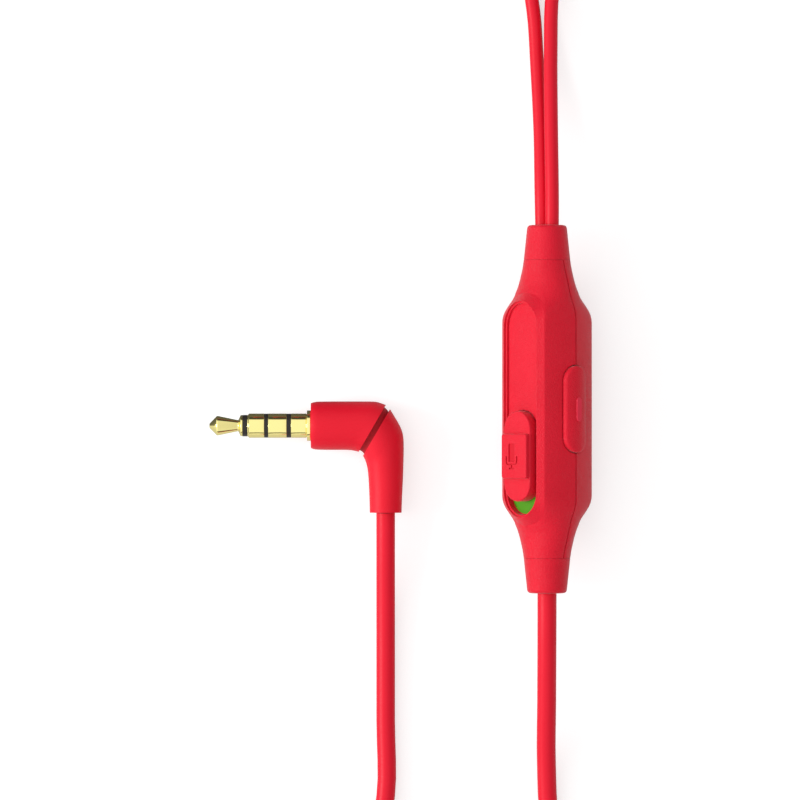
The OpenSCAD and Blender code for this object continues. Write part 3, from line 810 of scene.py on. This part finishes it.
# ---------------------------------------------------------------------------
# Plug. Gold-plated turned contacts, split by three black collars of one moulded
# core. The sleeve ends in a flange that seats in the elbow.
# ---------------------------------------------------------------------------
tip_low, tip_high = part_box("plug_tip")
PLUG_START = Vector((tip_low.x, (tip_low.y + tip_high.y) / 2, (tip_low.z + tip_high.z) / 2))
BARREL_R = 1.75
STEP_R = 1.56
BORE_R = 1.0
FLANGE_R = 2.2


def on_plug(y, z, s):
    """A point of the plug, in millimetres round its axis and in from its tip."""
    return PLUG_START + Vector((s, y, z)) * MM


def plated_gold():
    """Polished gold plate with faint turning rings and handling marks."""
    made, tree, shader = new_material("gold plate", Metallic=1)
    grain = add_node(tree, "ShaderNodeGroup", node_tree=GRAIN)
    grain.inputs["Pit size"].default_value = 0.0005
    blend = add_node(tree, "ShaderNodeMixRGB")
    blend.inputs["Color1"].default_value = (1.0, 0.91, 0.38, 1)
    blend.inputs["Color2"].default_value = (0.99, 0.85, 0.32, 1)
    tree.links.new(grain.outputs["Clouds"], blend.inputs["Fac"])
    tree.links.new(blend.outputs["Color"], shader.inputs["Base Color"])
    rough = add_node(tree, "ShaderNodeMapRange", To_Min=0.05, To_Max=0.09)
    tree.links.new(grain.outputs["Pits"], rough.inputs["Value"])
    tree.links.new(rough.outputs[0], shader.inputs["Roughness"])
    where = add_node(tree, "ShaderNodeTexCoord")
    rings = add_node(
        tree, "ShaderNodeTexWave", wave_type="BANDS", bands_direction="X", Scale=2500.0
    )
    tree.links.new(where.outputs["Object"], rings.inputs["Vector"])
    bump = add_node(tree, "ShaderNodeBump", Strength=0.3, Distance=0.000002)
    tree.links.new(rings.outputs["Fac"], bump.inputs["Height"])
    tree.links.new(bump.outputs["Normal"], shader.inputs["Normal"])
    return made


gold = plated_gold()
collar_black = moulded(
    "black collar", (0.02, 0.018, 0.016), (0.035, 0.03, 0.026), 0.35, 0.1, 0.002, 0.08
)

lathe(
    "plug_tip_contact",
    [(0, 0), (0.3, 0), (1.38, 1.05), (1.42, 1.2), (0.82, 4.05), (0.82, 4.2), (1.5, 4.5),
     (1.54, 4.79), (BORE_R, 4.79)],
    on_plug, gold, "earphones", ("plug_tip",),
    radii=[None, 0.1, 0.08, 0.08, 0.12, 0.08, 0.06, 0.04, None], sharp_deg=40,
)
lathe(
    "plug_collars",
    [(BORE_R, 4.75), (1.5, 4.75), (1.5, 4.82), (1.55, 4.83), (1.55, 5.47), (1.5, 5.48), (1.5, 7.9),
     (1.73, 7.95), (1.73, 8.48), (1.5, 8.5), (1.5, 11.1), (1.73, 11.18), (1.73, 11.78),
     (1.5, 11.8), (BORE_R, 12.2)],
    on_plug, collar_black, "earphones", ("plug_insulator",),
)
for name, node, profile in (
    ("plug_first_ring", "plug_ring_1",
     [(BORE_R, 5.5), (STEP_R, 5.5), (STEP_R, 5.6), (BARREL_R, 5.72), (BARREL_R, 7.93),
      (BORE_R, 7.93)]),
    ("plug_second_ring", "plug_ring_2",
     [(BORE_R, 8.5), (BARREL_R, 8.5), (BARREL_R, 11.16), (BORE_R, 11.16)]),
    ("plug_sleeve_contact", "plug_sleeve",
     [(BORE_R, 11.8), (BARREL_R, 11.8), (BARREL_R, 13.95), (1.66, 14.02), (1.66, 14.1),
      (FLANGE_R, 14.1), (FLANGE_R, 14.64), (BORE_R, 14.64)]),
):
    lathe(
        name, profile, on_plug, gold, "earphones", (node,),
        radii=[None] + [0.05] * (len(profile) - 2) + [None],
    )

# ---------------------------------------------------------------------------
# Elbow. A soft red moulding in two parts over an inner core: the housing round
# the plug and the boot round the cord, with a slanted groove between them.
# ---------------------------------------------------------------------------
OUTER_HOUSING = [(-34.04, 0.84), (-33.6, 1.0), (-32.8, 1.08), (-30, 1.1), (-27, 1.1),
                 (-25.2, 1.09), (-24.3, 0.98), (-23.21, 0.6)]
INNER_HOUSING = [(-34.04, -5.64), (-33.6, -5.8), (-32.8, -5.88), (-31, -5.9), (-29.6, -5.9),
                 (-28.7, -5.92), (-27.9, -6.0), (-27.14, -6.18)]
OUTER_BOOT = [(-22.61, -0.01), (-21.96, -1.07), (-21.3, -2.2), (-20.9, -3.1), (-20.68, -4.1),
              (-20.62, -5.6), (-20.66, -7.6), (-20.74, -10.2), (-20.86, -12.6), (-20.94, -14.96)]
INNER_BOOT = [(-26.52, -6.74), (-26.3, -7.15), (-26.12, -7.6), (-25.97, -8.1), (-25.85, -8.7),
              (-25.76, -9.5), (-25.68, -10.6), (-25.62, -11.8), (-25.57, -13.3), (-25.54, -14.96)]
BOOT_DEPTHS = [3.5, 3.45, 3.35, 3.2, 3.05, 2.88, 2.68, 2.52, 2.4, 2.3]
HOUSING_DEPTHS = [3.24, 3.4, 3.48, 3.5, 3.5, 3.5, 3.5, 3.5]


CORE_OUTER = [(-24.3, 0.62), (-23.4, 0.24), (-22.88, -0.3), (-22.2, -1.35)]
CORE_INNER = [(-27.9, -5.66), (-26.98, -5.93), (-26.4, -6.4), (-26.0, -7.25)]
CORE_DEPTHS = [2.7] * 4
END_ROUND, END_CAP_INSET = 0.12, 1.2
END_SHRINKS = [END_CAP_INSET] + [END_ROUND * (1 - math.sin(math.pi / 2 * k / 3)) for k in range(4)]


def between_contours(name, outer, inner, depths, node, material):
    """A closed moulding whose oval sections span two contours seen from above."""
    outer_line = smooth_line([(x, y, 0) for x, y in outer], steps=5)
    inner_line = smooth_line([(x, y, 0) for x, y in inner], steps=5)
    depth_line = smooth_line([(depth, 0, 0) for depth in depths], steps=5)
    stations = list(zip(outer_line, inner_line, depth_line))

    def section(station, shrink):
        high, low, depth = station
        middle = (high + low) / 2
        reach = (high - low) / 2
        reach = reach * (1 - shrink / reach.length)
        ring = []
        for k in range(LATHE_STEPS):
            angle = 2 * math.pi * k / LATHE_STEPS
            flat = middle + reach * math.cos(angle)
            z = PLUG_START.z + (depth.x - shrink) * math.sin(angle) * MM
            ring.append(on_table(flat.x * MM, flat.y * MM, z))
        return ring

    rings = [section(stations[0], shrink) for shrink in END_SHRINKS]
    rings += [section(station, 0) for station in stations[1:-1]]
    rings += [section(stations[-1], shrink) for shrink in reversed(END_SHRINKS)]
    finish_mesh(name, closed_solid(rings), "earphones", material, (node,))


elbow_red = moulded(
    "soft red elbow", (0.80, 0.006, 0.026), (0.70, 0.003, 0.018),
    0.46, 0.17, 0.03, 0.06, sheen=0.12,
)
# The core shows only in the groove between housing and boot; its much darker red is painted shade
# for that groove.
core_red_painted_groove_shade = moulded(
    "core red with painted groove shade", (0.42, 0.002, 0.012), (0.34, 0.001, 0.008), 0.5, 0.2, 0.01, 0.05
)
for node, outer, inner, depths, material in (
    ("elbow_housing", OUTER_HOUSING, INNER_HOUSING, HOUSING_DEPTHS, elbow_red),
    ("elbow_boot", OUTER_BOOT, INNER_BOOT, BOOT_DEPTHS, elbow_red),
    ("elbow_core", CORE_OUTER, CORE_INNER, CORE_DEPTHS, core_red_painted_groove_shade),
):
    between_contours(node + "_skin", outer, inner, depths, node, material)

# ---------------------------------------------------------------------------
# Earpieces. Each has a red front housing and back cover moulded like the remote,
# a black silicone tip over the nozzle, a fine steel mesh, and a soft red relief.
# ---------------------------------------------------------------------------
silicone = moulded(
    "black silicone", (0.010, 0.010, 0.011), (0.018, 0.018, 0.019), 0.5, 0.15, 0.003, 0.06
)
EAR_R = 5.5
RELIEF_RIBS, RIB_PITCH, RIB_GROOVE = 5, 1.2, 0.22


def mesh_steel():
    """Woven steel over the nozzle: bright wire, with painted shade in the openings between the
    wires.
    """
    made, tree, shader = new_material("steel mesh", Metallic=1, Roughness=0.35)
    where = add_node(tree, "ShaderNodeTexCoord")
    holes = add_node(tree, "ShaderNodeTexVoronoi", Scale=5000.0, Randomness=0.0)
    tree.links.new(where.outputs["Object"], holes.inputs["Vector"])
    # The openings between the wires are painted near black: painted shade seen through the mesh.
    tone = add_node(tree, "ShaderNodeValToRGB")
    hole, wire = tone.color_ramp.elements
    hole.position, hole.color = 0.3, (0.01, 0.01, 0.01, 1)
    wire.position, wire.color = 0.45, (0.6, 0.6, 0.6, 1)
    tree.links.new(holes.outputs["Distance"], tone.inputs["Fac"])
    tree.links.new(tone.outputs["Color"], shader.inputs["Base Color"])
    return made


wire_mesh = mesh_steel()
for side, way in (("left", 1), ("right", -1)):
    cover_low, cover_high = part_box(f"{side}_back_cover")
    boot_low, boot_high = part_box(f"{side}_ear_boot")
    open_x = cover_high.x if way > 0 else cover_low.x
    middle = Vector((open_x, (cover_low.y + cover_high.y) / 2, (cover_low.z + cover_high.z) / 2))
    relief_at = Vector(((boot_low.x + boot_high.x) / 2, boot_low.y, middle.z))

    def on_ear(y, z, s, middle=middle, way=way):
        return middle + Vector((way * s, y, z)) * MM

    def on_relief(x, z, s, relief_at=relief_at):
        return relief_at + Vector((x, s, z)) * MM

    lathe(
        f"{side}_front_housing_skin",
        [(4.2, 0.05), (EAR_R, 0.05), (EAR_R, 2.2), (3.4, 6.0), (2.2, 6.05), (2.2, 10.1),
         (2.6, 10.3), (2.6, 11.3), (1.5, 11.3), (1.5, 10.6)],
        on_ear, spark_red, "earphones", (f"{side}_front_housing",),
        radii=[None, 0.12, 0.8, 0.3, 0.1, 0.1, 0.15, 0.2, 0.2, None],
    )
    lathe(
        f"{side}_back_cover_skin",
        [(4.2, -0.03), (EAR_R, -0.03), (EAR_R, -1.6), (4.7, -3.9), (3.6, -4.55), (3.3, -4.55),
         (3.2, -4.35), (0, -4.35)],
        on_ear, spark_red, "earphones", (f"{side}_back_cover",),
        radii=[None, 0.12, 0.5, 0.5, 0.1, 0.1, 0.1, None],
    )
    lathe(
        f"{side}_cover_disc", [(3.05, -4.3), (3.05, -4.52), (2.2, -4.6), (0, -4.6)],
        on_ear, elbow_red, "earphones", radii=[None, 0.1, 0.4, None],
    )
    lathe(
        f"{side}_ear_tip_skin",
        [(2.2, 6.4), (3.2, 6.4), (3.4, 10.4), (4.9, 9.4), (5.5, 7.6), (5.72, 6.25), (5.98, 6.25),
         (6.0, 7.8), (5.6, 9.8), (4.7, 11.6), (3.5, 12.9), (2.6, 13.35), (1.95, 13.2),
         (1.9, 11.2)],
        on_ear, silicone, "earphones", (f"{side}_ear_tip",),
        radii=[None, 0.1, 0.3, 0.3, 0.5, 0.12, 0.12, 0.8, 0.9, 0.9, 0.6, 0.4, 0.3, None],
    )
    relief = [(0, 0), (1.0, 0), (1.35, 0)]
    for k in range(RELIEF_RIBS):
        start = 1.0 + RIB_PITCH * k
        rib_r = 1.38 + 0.09 * k
        relief += [(rib_r, start), (rib_r - RIB_GROOVE, start + 0.1),
                   (rib_r - RIB_GROOVE, start + 0.4), (rib_r + 0.02, start + 0.5)]
    relief += [(1.8, 7.4), (1.8, 9.9)]
    lathe(
        f"{side}_ear_relief", relief, on_relief, elbow_red, "earphones",
        (f"{side}_ear_boot",), radii=[None, None, 0.2] + [0.08] * (len(relief) - 4) + [None],
    )
    dress(f"{side}_nozzle_mesh", wire_mesh)

# ---------------------------------------------------------------------------
# Straps. A short loop of thin black woven tape, welded closed underneath, is
# slipped over each coil and holds its turns together.
# ---------------------------------------------------------------------------
STRAP_RIB = 0.0004
STRAP_W = 0.004
STRAP_GAP = 0.00015


def woven(name, colour, crown_highlight):
    """Narrow woven tape: ribs both ways, with a painted highlight on their crowns."""
    made, tree, shader = new_material(name, Roughness=0.8, Sheen_Weight=0.3)
    where = add_node(tree, "ShaderNodeTexCoord")
    weave = add_node(tree, "ShaderNodeMath", operation="MULTIPLY")
    for k, way in enumerate(("X", "Y")):
        ribs = add_node(tree, "ShaderNodeTexWave", wave_type="BANDS", bands_direction=way)
        ribs.inputs["Scale"].default_value = 0.31 / STRAP_RIB
        tree.links.new(where.outputs["Object"], ribs.inputs["Vector"])
        tree.links.new(ribs.outputs["Fac"], weave.inputs[k])
    # Where the weave is highest the colour turns lighter: a painted highlight on the crowns.
    tone = add_node(tree, "ShaderNodeMixRGB")
    tone.inputs["Color1"].default_value = (*colour, 1)
    tone.inputs["Color2"].default_value = (*crown_highlight, 1)
    tree.links.new(weave.outputs[0], tone.inputs["Fac"])
    tree.links.new(tone.outputs["Color"], shader.inputs["Base Color"])
    bump = add_node(tree, "ShaderNodeBump", Strength=1.0, Distance=0.08 * MM)
    tree.links.new(weave.outputs[0], bump.inputs["Height"])
    tree.links.new(bump.outputs["Normal"], shader.inputs["Normal"])
    return made


# The second colour is the painted highlight on the weave's crowns.
strap_black = woven("woven strap", (0.006, 0.006, 0.007), (0.045, 0.045, 0.048))


def strap(name, node, coil_at, inner, outer, diameter, angle_deg):
    """A closed strap round the section of a coil, with rounded edges where it folds."""
    low = math.sqrt((inner - diameter / 2) ** 2 - (STRAP_W / 2) ** 2) - STRAP_GAP
    high = outer + diameter / 2 + STRAP_GAP
    top = STRAP_T + 2 * diameter + LAYER_GAP
    turn = math.radians(angle_deg)
    reach = Vector((math.cos(turn), math.sin(turn), 0))
    across = Vector((-math.sin(turn), math.cos(turn), 0)) * STRAP_W / 2
    centre = on_table(coil_at[0], coil_at[1], 0)
    mesh = bmesh.new()
    rows = []
    for r, z, start in ((low, STRAP_T, 180), (high, STRAP_T, 270), (high, top, 0), (low, top, 90)):
        inside = centre + reach * r + Vector((0, 0, z))
        for k in range(5):
            angle = math.radians(start + 90 * k / 4)
            outwards = reach * math.cos(angle) + Vector((0, 0, math.sin(angle)))
            outside = inside + outwards * STRAP_T
            rows.append([inside - across, outside - across, outside + across, inside + across])
    skin(mesh, rows, closed_rows=True, closed_columns=True)
    return finish_mesh(name, mesh, "earphones", strap_black, (node,), sharp_deg=40)


main_strap = strap("main_strap", "main_tie", MAIN_COIL_AT, MAIN_INNER, MAIN_OUTER, MAIN_D, 270)
left_strap = strap("left_strap", "left_tie", LEFT_COIL_AT, LEFT_INNER, LEFT_OUTER, LEAD_D, 110)
right_strap = strap(
    "right_strap", "right_tie", RIGHT_COIL_AT, RIGHT_INNER, RIGHT_OUTER, LEAD_D, 200
)

# ---------------------------------------------------------------------------
# Inner parts and small inlays keep their CAD shapes: board, switches, microphone,
# drivers, carrier and the green inlay of the track.
# ---------------------------------------------------------------------------
inlay_green = moulded("green inlay", (0.075, 0.35, 0.0), (0.06, 0.29, 0.0), 0.5, 0.3, 0.004, 0.05)
board_green = moulded(
    "solder mask", (0.01, 0.10, 0.03), (0.008, 0.07, 0.02), 0.3, 0.3, 0.002, 0.05
)
tin = moulded("tinned steel", (0.55, 0.55, 0.56), (0.45, 0.45, 0.46), 0.3, 0.2, 0.002, 0.05)
ivory = moulded("ivory plastic", (0.72, 0.68, 0.56), (0.66, 0.62, 0.5), 0.4, 0.2, 0.002, 0.05)
dark = moulded("dark plastic", (0.04, 0.04, 0.045), (0.06, 0.06, 0.065), 0.5, 0.2, 0.004, 0.05)
for material, names in (
    (inlay_green, ["green_indicator"]),
    (board_green, ["circuit_board"]),
    (tin, ["slide_switch", "push_switch", "microphone", "left_driver", "right_driver"]),
    (ivory, ["switch_lever", "switch_plunger"]),
    (dark, ["slider_carrier", "microphone_gasket"]),
):
    for name in names:
        dress(name, material)

# ---------------------------------------------------------------------------
# Pale table and soft studio light: one large soft source on the left, in a bright
# even surround that dims to the right and towards the far horizon.
# ---------------------------------------------------------------------------
TABLE_HALF = 1.5
TABLE_DROP = 0.00002
TABLE_LIT, TABLE_DARK = 0.62, 0.1
TABLE_GLOW = 0.58
FADE = 3 * MM
KEY_PLACE = Vector((-0.7, 0.0, 0.35))


def table_white():
    """Matt white board, brighter to the camera, and darker beyond the plug in reflections."""
    made, tree, shader = new_material(
        "white table", Roughness=0.9, Specular_IOR_Level=0.1, Emission_Color=(1, 1, 1, 1)
    )
    light_path = add_node(tree, "ShaderNodeLightPath")
    seen = light_path.outputs["Is Camera Ray"]
    place = add_node(tree, "ShaderNodeTexCoord")
    axes = add_node(tree, "ShaderNodeSeparateXYZ")
    tree.links.new(place.outputs["Object"], axes.inputs[0])
    beyond_plug = add_node(tree, "ShaderNodeMath", operation="MULTIPLY")
    for k, (axis, start, end) in enumerate((
        ("Y", PLUG_START.y - FADE, PLUG_START.y + FADE),
        ("X", PLUG_START.x + 30 * MM, PLUG_START.x + 18 * MM),
    )):
        reach = add_node(tree, "ShaderNodeMapRange", From_Min=start, From_Max=end)
        tree.links.new(axes.outputs[axis], reach.inputs["Value"])
        tree.links.new(reach.outputs[0], beyond_plug.inputs[k])
    unseen = add_node(tree, "ShaderNodeMapRange", To_Min=TABLE_LIT, To_Max=TABLE_DARK)
    tree.links.new(beyond_plug.outputs[0], unseen.inputs["Value"])
    tone = add_node(tree, "ShaderNodeMixRGB", Color2=(0.55, 0.55, 0.55, 1))
    tree.links.new(seen, tone.inputs["Fac"])
    tree.links.new(unseen.outputs[0], tone.inputs["Color1"])
    tree.links.new(tone.outputs["Color"], shader.inputs["Base Color"])
    glow = add_node(tree, "ShaderNodeMath", operation="MULTIPLY")
    glow.inputs[1].default_value = TABLE_GLOW
    tree.links.new(seen, glow.inputs[0])
    tree.links.new(glow.outputs[0], shader.inputs["Emission Strength"])
    return made


table_mesh = bpy.data.meshes.new("table")
corners = [(x * TABLE_HALF, y * TABLE_HALF, 0) for x, y in ((-1, -1), (1, -1), (1, 1), (-1, 1))]
table_mesh.from_pydata(corners, [], [(0, 1, 2, 3)])
table_mesh.materials.append(table_white())
floor = bpy.data.objects.new("table", table_mesh)
floor.location.z = cad_box[0][2] - TABLE_DROP
bpy.context.scene.collection.objects.link(floor)

key_data = bpy.data.lights.new("key", "AREA")
key_data.energy = 3.2
key_data.size = 0.3
key = bpy.data.objects.new("key", key_data)
key.location = remote_at + KEY_PLACE
key.rotation_euler = (-KEY_PLACE).to_track_quat("-Z", "Y").to_euler()
bpy.context.scene.collection.objects.link(key)

# The surround by direction: a bright ceiling, brighter on the left, that stops short
# of the horizon on the far side and has a thin dark gap above it on the near side
world = bpy.data.worlds.new("surround")
world.use_nodes = True
sky = world.node_tree
direction = add_node(sky, "ShaderNodeTexCoord")
parts = add_node(sky, "ShaderNodeSeparateXYZ")
sky.links.new(direction.outputs["Generated"], parts.inputs[0])


def ramp_of(value, stops):
    """Brightness along a value from -1 to 1, given as (value, brightness) stops."""
    spread = add_node(sky, "ShaderNodeMapRange", From_Min=-1.0, From_Max=1.0)
    sky.links.new(value, spread.inputs["Value"])
    ramp = add_node(sky, "ShaderNodeValToRGB")
    line = ramp.color_ramp
    while len(line.elements) < len(stops):
        line.elements.new(0.5)
    for element, (at, tone) in zip(line.elements, stops):
        element.position = (at + 1) / 2
        element.color = (tone, tone, tone, 1)
    sky.links.new(spread.outputs[0], ramp.inputs["Fac"])
    return ramp.outputs["Color"]


near_far = ramp_of(
    parts.outputs["Y"],
    [(-0.985, 1), (-0.972, 0.05), (-0.935, 0.05), (-0.915, 1), (0.84, 1), (0.91, 0.06)],
)
left_right = ramp_of(parts.outputs["X"], [(-0.9, 1), (0.1, 0.98), (0.5, 0.55), (0.9, 0.45)])
brightness = add_node(sky, "ShaderNodeMixRGB", blend_type="MULTIPLY", Fac=1.0)
sky.links.new(near_far, brightness.inputs["Color1"])
sky.links.new(left_right, brightness.inputs["Color2"])
sky.links.new(brightness.outputs["Color"], sky.nodes["Background"].inputs["Color"])
sky.nodes["Background"].inputs["Strength"].default_value = 1.08
bpy.context.scene.world = world
